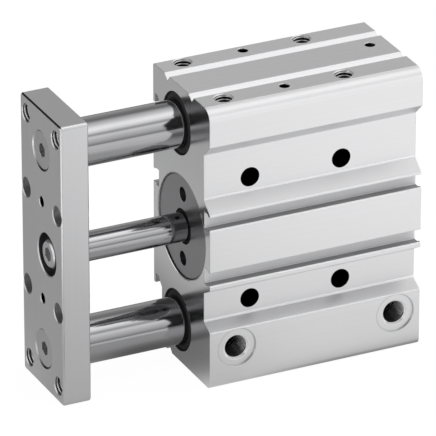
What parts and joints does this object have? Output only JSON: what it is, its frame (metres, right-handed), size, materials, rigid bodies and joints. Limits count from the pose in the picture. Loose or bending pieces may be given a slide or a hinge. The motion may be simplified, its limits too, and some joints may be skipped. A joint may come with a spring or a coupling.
{
  "type": "guided pneumatic cylinder",
  "caption": "Compact double-acting air cylinder with parallel guide rods in one slotted body, joined to its piston rod by a drilled tooling plate.",
  "frame": {"origin": "on the piston axis, at the centre of the four bolt holes through the body", "axes": "+X from the tooling plate to the rear of the body, along the rods; +Y from the port face to the back face; +Z from the lower guide rod to the upper one"},
  "size_m": [0.14, 0.048, 0.112],
  "materials": {
    "anodised_body": "satin natural anodised extrusion, machined ends",
    "plate_aluminium": "satin natural anodised, machined all over",
    "gland_aluminium": "turned, grey anodised",
    "inner_aluminium": "turned, plain",
    "chromed_rod": "ground and hard-chromed, polished",
    "screw_steel": "zinc-plated steel",
    "spring_steel": "phosphated spring steel",
    "seal_rubber": "black nitrile rubber",
    "bumper_urethane": "polyurethane",
    "bush_bronze": "sintered bronze",
    "magnet_ferrite": "pressed ferrite, dull grey",
    "wear_ring_plastic": "acetal"
  },
  "bodies": {
    "housing": {"body_extrusion": "anodised_body", "rod_gland": "gland_aluminium", "gland_o_ring": "seal_rubber", "rod_wiper": "seal_rubber", "rod_seal": "seal_rubber", "rod_bush": "bush_bronze", "front_bumper": "bumper_urethane", "rear_bumper": "bumper_urethane", "rear_cap": "inner_aluminium", "rear_cap_o_ring": "seal_rubber", "rear_circlip": "spring_steel", "guide_bush_upper_front": "bush_bronze", "guide_bush_upper_rear": "bush_bronze", "guide_bush_lower_front": "bush_bronze", "guide_bush_lower_rear": "bush_bronze", "guide_wiper_upper": "seal_rubber", "guide_wiper_lower": "seal_rubber"},
    "carriage": {"tooling_plate": "plate_aluminium", "guide_rod_upper": "chromed_rod", "guide_rod_lower": "chromed_rod", "guide_rod_screw_upper": "screw_steel", "guide_rod_screw_lower": "screw_steel", "piston_rod": "chromed_rod", "piston_rod_screw": "screw_steel", "piston_rod_washer": "screw_steel", "piston": "inner_aluminium", "piston_seal": "seal_rubber", "piston_magnet": "magnet_ferrite", "piston_wear_ring": "wear_ring_plastic", "piston_nut": "screw_steel"}
  },
  "joints": [
    {"name": "plate_slide", "type": "slide", "parent": "housing", "child": "carriage", "axis": [-1, 0, 0], "range_m": [-0.04, 0]}
  ]
}
